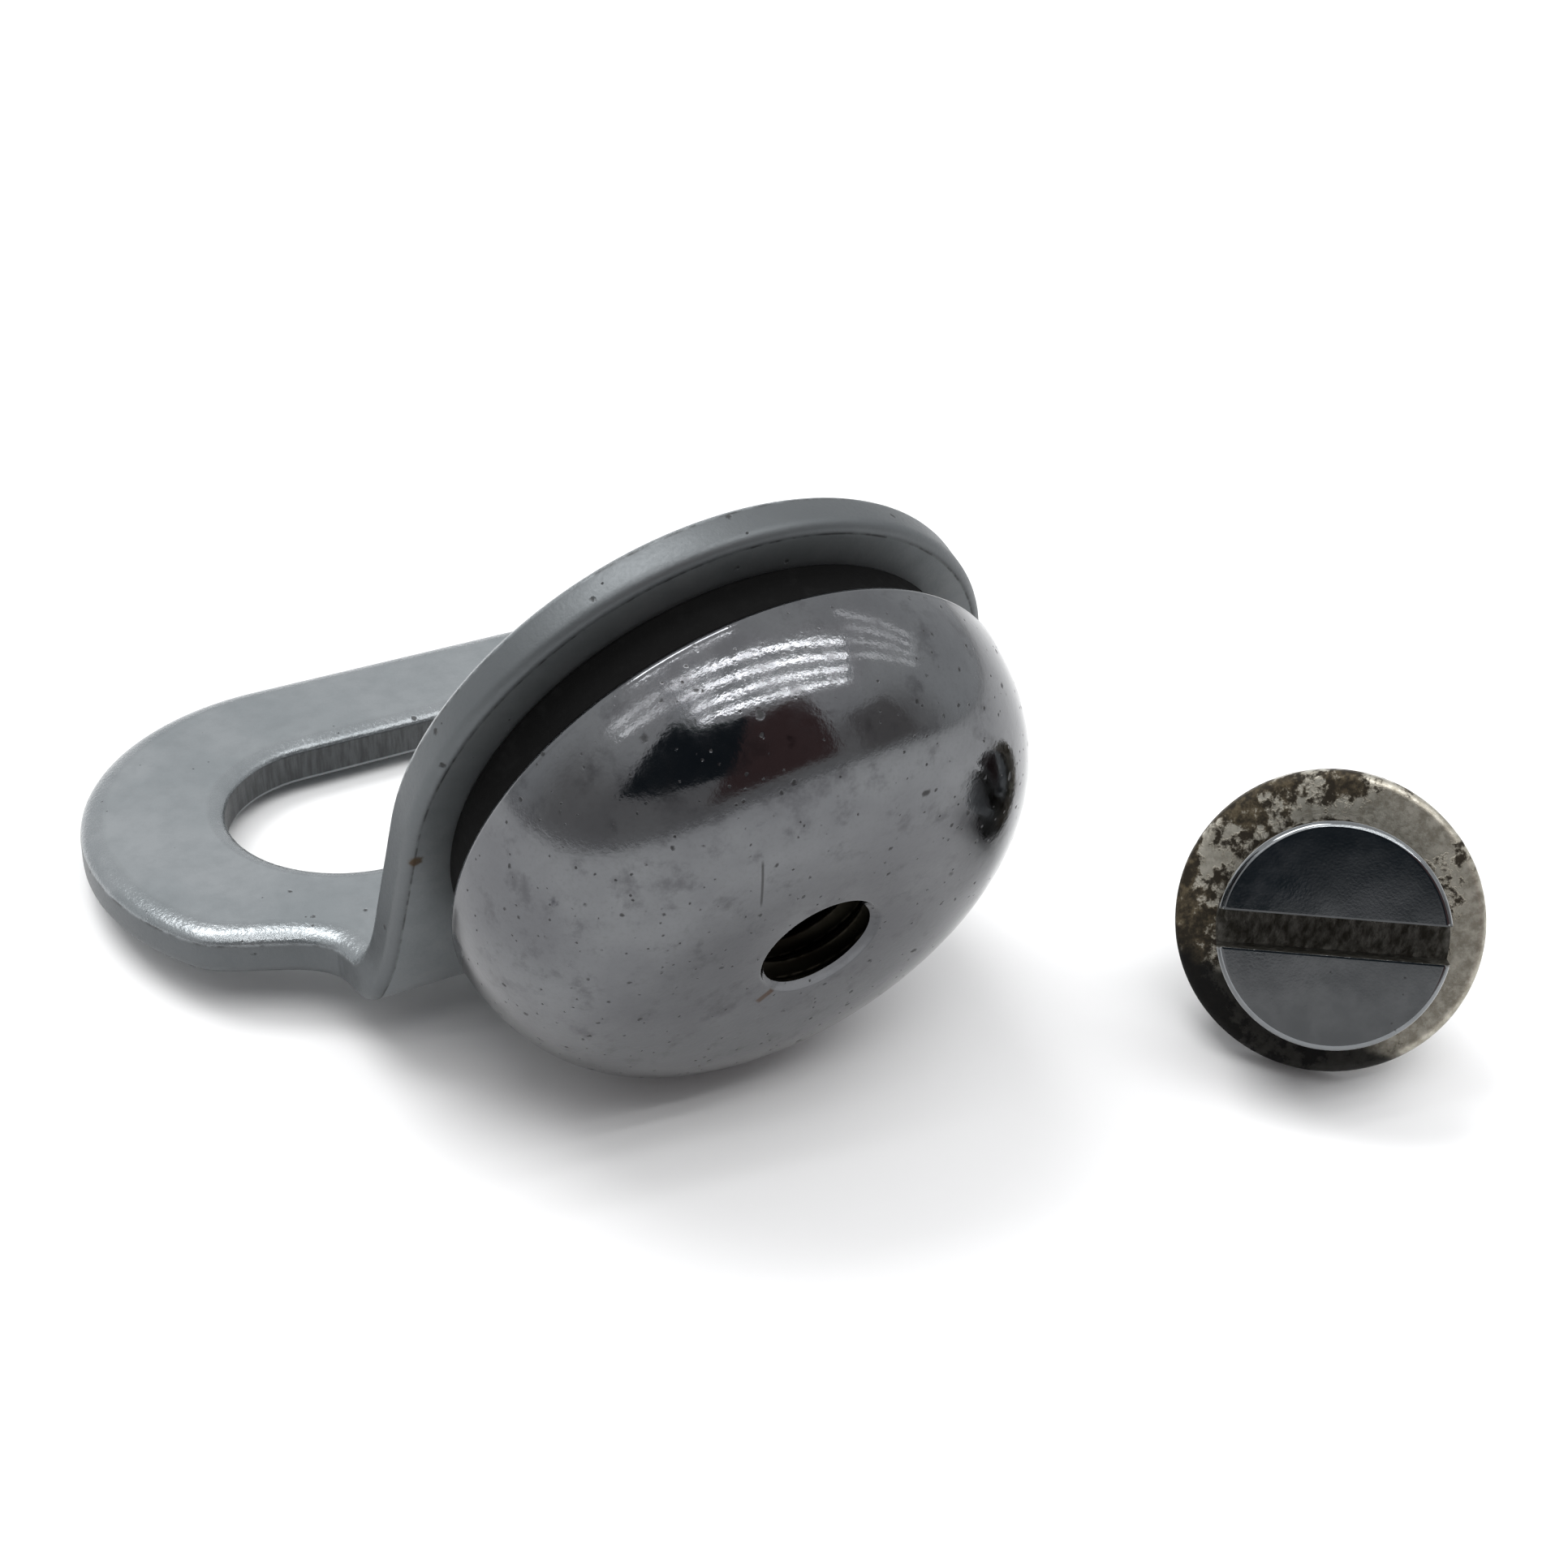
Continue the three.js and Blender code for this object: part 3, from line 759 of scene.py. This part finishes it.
def store_zones(work):
    """Stores where the plate is rolled over, where the slot's punched wall is, and where the
    outer edge is sheared, which lies below its roll. The finish paints that sheared band
    darker as painted shade."""
    rolled = work.verts.layers.float.new("rolled")
    punched = work.verts.layers.float.new("punched")
    sheared = work.verts.layers.float.new("sheared")
    for vertex in work.verts:
        flats = [face for face in vertex.link_faces if abs(face.normal.z) > 0.999]
        walls = [face for face in vertex.link_faces if abs(face.normal.z) < 0.06]
        low = vertex.co.z < SHEET - ROLL_DEEP + 0.05
        vertex[rolled] = 0.0 if flats or low else 1.0
        vertex[punched] = 1.0 if walls and by_slot(vertex.co) else 0.0
        vertex[sheared] = 1.0 if low and not flats and not by_slot(vertex.co) else 0.0


def stretch(work, level, extra):
    """Lifts what lies above a level, so that a roll wider than it is deep can be made round."""
    for vertex in work.verts:
        if vertex.co.z > level:
            vertex.co.z += extra


def flatten(work):
    """Presses the round rolls back down to their real depth."""
    top = ROLLED_SHEET - ROLL_TOP
    for vertex in work.verts:
        if vertex.co.z > top:
            vertex.co.z = top + (vertex.co.z - top) * ROLL_DEEP / ROLL_TOP


BEND_CUTS, CUTS_BEFORE, CUTS_AFTER = 12, 14, 30


def bracket_mesh():
    work = punched_plate()
    roll_edges(work, 0.0, ROLL_UNDER, lambda point: not by_slot(point))
    roll_edges(work, 0.0, ROLL_UNDER * 0.5, by_slot)
    stretch(work, SHEET - ROLL_DEEP, ROLL_TOP - ROLL_DEEP)
    roll_edges(work, ROLLED_SHEET, ROLL_TOP, lambda point: not by_slot(point))
    roll_edges(work, ROLLED_SHEET, ROLL_SLOT, by_slot)
    store_zones(work)
    flatten(work)
    step = BEND_LONG / BEND_CUTS
    for i in range(-CUTS_BEFORE, CUTS_AFTER):
        geometry = work.verts[:] + work.edges[:] + work.faces[:]
        bmesh.ops.bisect_plane(work, geom=geometry, plane_co=(0, step * i, 0), plane_no=(0, 1, 0))
    for vertex in work.verts:
        vertex.co = bent(vertex.co)
    bmesh.ops.dissolve_degenerate(work, dist=1e-5, edges=work.edges)
    bmesh.ops.recalc_face_normals(work, faces=work.faces)
    mesh = bpy.data.meshes.new("bracket")
    work.to_mesh(mesh)
    work.free()
    return mesh


# %% The clamp screw's hole through the upright
CLEAR_R = 3.2


def bored(mesh):
    """Cuts the clearance hole with a turned plug."""
    plate = loose_object("plate", mesh)
    plug_mesh = turned("plug", [(0, -6), (CLEAR_R, -6), (CLEAR_R, 6), (0, 6)], 64)
    plug_mesh.transform(FOOT_FRAME.inverted() @ HEAD_FRAME)
    plug = loose_object("plug", plug_mesh)
    cut = plate.modifiers.new("bore", "BOOLEAN")
    cut.object = plug
    cut.operation = "DIFFERENCE"
    cut.solver = "EXACT"
    made = evaluated(plate, [cut])
    bpy.data.objects.remove(plug)
    return made


bracket = add_piece("bracket_plate", bored(bracket_mesh()), FOOT_FRAME, "holder", "bracket",
                    BRACKET_FINISH, sharp=50)

# %% [markdown]
# ## The head
# The head is turned from bar, bored and tapped, then plated and buffed. Its crown follows a
# rounded-square curve: nearly flat round the hole, and falling ever faster to the shoulder. A
# profile turned about the axis gives it, with enough points for clean reflections. The tapped
# hole is part of the same skin, so its thread is real relief and catches the light; the hole's
# inside is then painted near-black as painted shade.

# %% Sizes of the head
DOME_R, DOME_BACK, DOME_RISE, DOME_POWER = 12.38, 2.39, 7.19, 4.26
TAPPED_R, THREAD_R = 2.45, 2.95
CLAMP_LONG, LOCK_THICK = 10.0, 1.6
CLAMP_SEAT = -(SHEET + LOCK_THICK + 2 * GAP)
CLAMP_TIP = CLAMP_SEAT + CLAMP_LONG
THREAD_DEEP = 0.5
PITCH = 1.0
THREAD_TREE = thread_tree(CHROME_FINISH)
print("the thread tree has", len(THREAD_TREE.nodes), "nodes")


def crown_height(radius):
    return DOME_BACK + DOME_RISE * math.sqrt(max(0.0, 1 - (radius / DOME_R) ** DOME_POWER))


def head_profile():
    """From the bottom of the bore, round the flat back and rim, over the crown, into the hole.
    The crown's points crowd together towards the shoulder, where it turns fastest."""
    rim = 0.45
    lip = 0.22
    floor = CLAMP_TIP + GAP
    profile = [(CLEAR_R, floor), (CLEAR_R, DOME_BACK + 0.2), (CLEAR_R + 0.2, DOME_BACK)]
    profile += [(radius, DOME_BACK) for radius in (5.0, 8.0, 10.5, 11.4)]
    profile += arc(DOME_R - rim, DOME_BACK + rim, rim, -90, -6, 8)
    lip_r = TAPPED_R + 0.28
    for i in range(1, 65):
        swing = math.pi / 2 * (i / 64) ** 1.15
        radius = lip_r + (DOME_R - lip_r) * math.cos(swing) ** 0.55
        if crown_height(radius) > profile[-1][1] + 0.02 or radius < DOME_R - 0.3:
            profile.append((radius, crown_height(radius)))
    top = crown_height(lip_r)
    profile += arc(lip_r, top - lip, lip, 90, 175, 5)[1:]
    profile += straight(THREAD_R, top - 0.45, floor + 0.02, 0.04)
    return profile


print("the crown stands", round(crown_height(0), 2), "mm off the upright")
head_mesh = turned("head", head_profile(), 160)
head_mesh = cut_thread(head_mesh, THREAD_TREE, Pitch=PITCH, Depth=THREAD_DEEP,
                       From=CLAMP_TIP, To=crown_height(0) - 0.1, Widest=THREAD_R + 0.05)
# Marks the tapped hole, which the chrome finish paints near-black as painted shade.
inside = head_mesh.attributes.new("bore", "FLOAT", "POINT")
for i, vertex in enumerate(head_mesh.vertices):
    sunk = vertex.co.z < crown_height(0) - 0.3
    narrow = math.hypot(vertex.co.x, vertex.co.y) < CLEAR_R + 0.1
    inside.data[i].value = 1.0 if sunk and narrow else 0.0
head = add_piece("head", head_mesh, HEAD_FRAME, "head", "dome_head",
                 CHROME_FINISH, sharp=40)

# %% [markdown]
# ## Rubber ring and sleeve
# The ring between upright and head is cut from black rubber, with its corners a little rounded.
# The steel sleeve inside it takes the screw's pull, so that the rubber is only nipped. Both have
# the same kind of section, so one profile function serves for the two.

# %% Turn the ring and the sleeve
RING_R, RING_BORE, SLEEVE_R = 11.33, 4.4, 4.0
ring_low, ring_high = GAP, DOME_BACK - GAP


def ring_profile(bore, outer, low, high, corner):
    """A flat ring with round outer corners."""
    profile = [(bore, high - 0.1), (bore, low + 0.1), (bore + 0.1, low)]
    profile += arc(outer - corner, low + corner, corner, -90, -5, 5)
    profile.append((outer, (low + high) / 2))
    profile += arc(outer - corner, high - corner, corner, 5, 90, 5)
    profile.append((bore + 0.1, high))
    return profile


rubber = turned("rubber", ring_profile(RING_BORE, RING_R, ring_low, ring_high, 0.25), 128)
buffer_ring = add_piece("rubber_ring", rubber, HEAD_FRAME, "holder", "buffer_ring",
                        RUBBER_FINISH, sharp=50)
sleeve_mesh = turned("sleeve", ring_profile(CLEAR_R, SLEEVE_R, ring_low, ring_high, 0.15), 96)
sleeve = add_piece("sleeve", sleeve_mesh, HEAD_FRAME, "holder", "spacer_sleeve",
                   PLAIN_FINISH)

# %% [markdown]
# ## Screws
# Both screws are M6 with slotted cheese heads. Each is turned in one piece, its thread is cut by
# the same node tree as the head's hole, and the driver slot is sawn by taking away a bar. The saw
# leaves the slot's lips a little soft, so a narrow bevel follows. Dirt gathers in the slot and
# grease in the thread, and values stored on the mesh tell the finish where.

# %% Cheese-head screw
SCREW_HEAD_R, SCREW_HEAD_HIGH = 4.85, 3.9
SAW_WIDE, SAW_DEEP, POINT = 1.6, 1.7, 0.4


def screw_profile(length):
    corner = 0.3
    under = 0.12
    shank = [(0, -length), (0.9, -length), (THREAD_R - POINT, -length)]
    shank += straight(THREAD_R, POINT - length, -0.02, 0.05)
    top = SCREW_HEAD_HIGH
    head_side = [(THREAD_R + 0.3, 0.0), (SCREW_HEAD_R - under, 0.0), (SCREW_HEAD_R, under)]
    head_side += [(SCREW_HEAD_R, 1.4), (SCREW_HEAD_R, 2.6)]
    head_side += arc(SCREW_HEAD_R - corner, top - corner, corner, 0, 90, 6)
    return shank + head_side + [(0, top)]


def sawn(mesh):
    """Takes the driver slot out of the head and softens its lips."""
    blank = loose_object("blank", mesh)
    bar = bpy.data.meshes.new("saw")
    work = bmesh.new()
    bmesh.ops.create_cube(work, size=1.0)
    bmesh.ops.scale(work, vec=(4 * SCREW_HEAD_R, SAW_WIDE, 2 * SAW_DEEP), verts=work.verts)
    bmesh.ops.translate(work, vec=(0, 0, SCREW_HEAD_HIGH), verts=work.verts)
    work.to_mesh(bar)
    work.free()
    saw = loose_object("saw", bar)
    cut = blank.modifiers.new("saw", "BOOLEAN")
    cut.object = saw
    cut.solver = "EXACT"
    made = evaluated(blank, [cut])
    bpy.data.objects.remove(saw)
    work = bmesh.new()
    work.from_mesh(made)
    flats = [face for face in work.faces if face.normal.z > 0.999]
    bmesh.ops.dissolve_faces(work, faces=flats, use_verts=True)
    lips = []
    for edge in work.edges:
        corner = edge.calc_face_angle(0) > math.radians(50)
        if corner and all(abs(v.co.z - SCREW_HEAD_HIGH) < 1e-4 for v in edge.verts):
            lips.append(edge)
    bmesh.ops.bevel(work, geom=lips, offset=0.08, segments=2, profile=0.5, affect="EDGES")
    work.to_mesh(made)
    work.free()
    return made


def store_dirt(mesh):
    """Marks the driver slot and the thread for the finish."""
    slot_dirt = mesh.attributes.new("driver_slot", "FLOAT", "POINT")
    threaded = mesh.attributes.new("threaded", "FLOAT", "POINT")
    floor = SCREW_HEAD_HIGH - SAW_DEEP
    for i, vertex in enumerate(mesh.vertices):
        x, y, z = vertex.co
        in_slot = abs(y) < SAW_WIDE / 2 + 0.03 and floor - 0.05 < z < SCREW_HEAD_HIGH - 0.03
        slot_dirt.data[i].value = 1.0 if in_slot else 0.0
        threaded.data[i].value = 1.0 if z < -0.1 and math.hypot(x, y) < THREAD_R + 0.1 else 0.0


def screw_mesh(name, length):
    mesh = turned(name, screw_profile(length), 96)
    mesh = cut_thread(mesh, THREAD_TREE, Pitch=PITCH, Depth=THREAD_DEEP, From=-length - 0.3, To=-0.4,
                      Widest=THREAD_R + 0.05)
    mesh = sawn(mesh)
    store_dirt(mesh)
    return mesh


fixing_screw = add_piece("loose_screw", screw_mesh("loose screw", 8.0), SCREW_FRAME, "fixing_screw",
                         "fixing_screw", SCREW_FINISH)
CLAMP_FRAME = HEAD_FRAME @ Matrix.Translation((0, 0, CLAMP_SEAT)) @ Matrix.Rotation(math.pi, 4, "Y")
clamp_screw = add_piece("clamp_screw", screw_mesh("clamp screw", CLAMP_LONG), CLAMP_FRAME,
                        "clamp_screw", "clamp_screw", SCREW_FINISH)

# %% [markdown]
# ## Washers
# The loose washer is a plain stamped ring. The punch rolls its edge over on one side and leaves it
# nearly square on the other.
# The lock washer is one turn of square wire, cut on a slant. Its section is carried round the axis
# and stops short at both ends, which leaves the gap.

# %% Loose washer
WASHER_R = 6.6


def washer_mesh():
    low, high = -GAP - WASHER_THICK, -GAP
    profile = [(CLEAR_R, low + 0.12), (CLEAR_R + 0.12, low), (4.2, low), (5.4, low)]
    profile += arc(WASHER_R - 0.15, low + 0.15, 0.15, -90, 0, 4)
    profile += arc(WASHER_R - 0.38, high - 0.38, 0.38, 0, 90, 8)
    profile += [(5.2, high), (4.2, high), (CLEAR_R + 0.25, high), (CLEAR_R, high - 0.25)]
    return turned("washer", profile, 128)


fixing_washer = add_piece("loose_washer", washer_mesh(), SCREW_FRAME, "fixing_washer",
                          "fixing_washer", WASHER_FINISH, sharp=50)

# %% Split lock washer
LOCK_R = 5.4
LOCK_GAP = math.radians(7)


def lock_washer_mesh():
    back = -(SHEET + GAP + LOCK_THICK)
    inner, outer, corner = CLEAR_R + 0.02, LOCK_R, 0.12
    section = [(inner + corner, 0), (outer - corner, 0), (outer, corner), (outer, LOCK_THICK - corner),
               (outer - corner, LOCK_THICK), (inner + corner, LOCK_THICK), (inner, LOCK_THICK - corner),
               (inner, corner)]
    work = bmesh.new()
    rings = []
    steps = 96
    for i in range(steps + 1):
        ring = []
        for radius, height in section:
            slant = 0.1 * (height / LOCK_THICK - 0.5)
            a = math.pi / 2 + LOCK_GAP / 2 + slant + (2 * math.pi - LOCK_GAP) * i / steps
            ring.append(work.verts.new((radius * math.cos(a), radius * math.sin(a), back + height)))
        rings.append(ring)
    for first, second in zip(rings, rings[1:]):
        for j in range(len(section)):
            k = (j + 1) % len(section)
            work.faces.new((first[j], first[k], second[k], second[j]))
    work.faces.new(rings[0])
    work.faces.new(rings[-1])
    bmesh.ops.recalc_face_normals(work, faces=work.faces)
    mesh = bpy.data.meshes.new("lock washer")
    work.to_mesh(mesh)
    work.free()
    return mesh


lock_washer = add_piece("lock_ring", lock_washer_mesh(), HEAD_FRAME, "holder", "lock_washer",
                        PLAIN_FINISH)

# %% [markdown]
# ## Floor, light and camera
# Metal shows its surroundings, so they do most of the work. A pale floor fills the lower half of
# every reflection. A lamp of four long tubes hangs overhead, and its tubes draw the row of bright
# streaks on the crown. The next lamp along goes on with them more faintly, and a soft panel behind
# lights the foot's rolled edge. The room is darker low down at the front, and dark shapes stand
# there as people at the bench would, which gives the crown and the loose screw their deep tones.

# %% Floor
def floor_material():
    f = Finish("pale floor")
    f.set("Base Color", f.blend(f.noise(30.0, 3.0), grey(0.84), grey(0.87)))
    f.set("Roughness", 0.9)
    f.set("Specular IOR Level", 0.1)
    return f.material


FLOOR_REACH, FLOOR_TOP, FLOOR_UNDER = 3000, -0.01, -5
floor_top = [(0, FLOOR_TOP), (400, FLOOR_TOP), (FLOOR_REACH, FLOOR_TOP)]
floor_mesh = turned("floor", floor_top + [(FLOOR_REACH, FLOOR_UNDER), (0, FLOOR_UNDER)], 64)
floor_mesh.transform(Matrix.Scale(MM, 4))
floor_mesh.materials.append(floor_material())
floor = loose_object("floor", floor_mesh)

# %% The room
world = bpy.data.worlds.new("soft room")
bpy.context.scene.world = world
world.use_nodes = True
room = Nodes(world.node_tree)
look = room.add("SeparateXYZ")
room.links.new(room.add("TexCoord").outputs["Generated"], look.inputs[0])
TO_DEGREES = 180 / math.pi
height = room.sum("MULTIPLY", room.sum("ARCSINE", look.outputs[2]), TO_DEGREES)
turn = room.sum("ARCTAN2", look.outputs[0], room.sum("MULTIPLY", look.outputs[1], -1.0))
turn = room.sum("MULTIPLY", turn, TO_DEGREES)


def patch(left, right, low, high, soft):
    """1 inside a window of the room: turn from the front and height, in degrees."""
    past_left = room.ramp(turn, left - soft, left + soft)
    past_right = room.ramp(turn, right - soft, right + soft)
    over = room.ramp(height, low - soft, low + soft)
    past_top = room.ramp(height, high - soft, high + soft)
    sides = room.sum("SUBTRACT", past_left, past_right)
    return room.sum("MULTIPLY", sides, room.sum("SUBTRACT", over, past_top))


wall = room.blend(room.ramp(height, 0.0, 60.0), grey(0.86, -0.02, 0.02), grey(1.0, -0.01, 0.01))
low_front = room.sum("MULTIPLY", patch(-105, 62, -4, 30, 12), 0.85)
wall = room.blend(low_front, wall, grey(0.4, 0.01))
cupboard = room.sum("MULTIPLY", patch(30, 50, 2, 31, 2), 0.7)
wall = room.blend(cupboard, wall, grey(0.22, 0.02))
red_figure = patch(-18, 23, 9, 56, 2)
wall = room.blend(red_figure, wall, (0.16, 0.1, 0.1, 1))
blue_figure = room.most(patch(-66, -14, 22.5, 55, 1.8), patch(-66, -42, 21.4, 40, 0.6))
wall = room.blend(blue_figure, wall, (0.035, 0.045, 0.055, 1))
sky = room.nodes["Background"]
room.links.new(wall, sky.inputs["Color"])
sky.inputs["Strength"].default_value = 1.0


# %% Lamps
def tube(name, place, long, wide, radiance, turned_by):
    """A flat lamp that faces straight down and shines with a given radiance."""
    data = bpy.data.lights.new(name, "AREA")
    data.shape = "RECTANGLE"
    data.size, data.size_y = long, wide
    data.energy = radiance * math.pi * long * wide
    lamp = bpy.data.objects.new(name, data)
    lamp.location = place
    lamp.rotation_euler = (0, 0, turned_by)
    bpy.context.scene.collection.objects.link(lamp)
    return lamp


CEILING = 400 * MM
TUBE_TURN = math.radians(-8)
TUBE_LONG, TUBE_WIDE, TUBE_STEP = 1.15 * CEILING, 0.034 * CEILING, 0.163


def overhead(x, y):
    """A place on the ceiling, in ceiling heights from the point straight above the head."""
    return head_seat + Vector((x, y, 1.0)) * CEILING


for i in range(4):
    tube("ceiling tube", overhead(0.08, -0.05 - TUBE_STEP * i), TUBE_LONG, TUBE_WIDE, 12.0, TUBE_TURN)
for i in range(2):
    tube("far tube", overhead(-0.86, 0.09 - 0.15 * i), 0.6 * CEILING, 0.06 * CEILING, 2.5, TUBE_TURN)
tube("back panel", overhead(-0.28, 0.48), 0.7 * CEILING, 0.4 * CEILING, 9.0, TUBE_TURN)
for i in range(4):
    tube("next lamp's tube", overhead(1.3, 0.12 - TUBE_STEP * i), TUBE_LONG, 0.05 * CEILING, 1.5, TUBE_TURN)

# %% The way the camera looks
CAMERA_TURN, CAMERA_TILT, CAMERA_ROLL = math.radians(-36.1), math.radians(37.3), math.radians(7.9)
CAMERA_AWAY = 100 * MM


def out_from(turn, tilt):
    """The way from the object towards a place round it."""
    return Vector((math.sin(turn) * math.cos(tilt), -math.cos(turn) * math.cos(tilt), math.sin(tilt)))


# %% Set up the camera
middle = (cad_box[0] + cad_box[1]) / 2
look_at = middle + Vector((-2.3, -4.9, -0.9)) * MM
back = out_from(CAMERA_TURN, CAMERA_TILT)
right = Vector((0, 0, 1)).cross(back).normalized()
right = Matrix.Rotation(CAMERA_ROLL, 3, back) @ right
camera_data = bpy.data.cameras.new("camera")
camera_data.sensor_width = 36
camera_data.lens = 56.3
camera_data.clip_start = 0.005
camera = bpy.data.objects.new("camera", camera_data)
turn = Matrix((right, back.cross(right), back)).transposed().to_4x4()
camera.matrix_world = Matrix.Translation(look_at + back * CAMERA_AWAY) @ turn
bpy.context.scene.collection.objects.link(camera)
bpy.context.scene.camera = camera
bpy.context.scene.view_settings.view_transform = "Standard"
print("camera stands", [round(c / MM, 1) for c in camera.location], "mm")
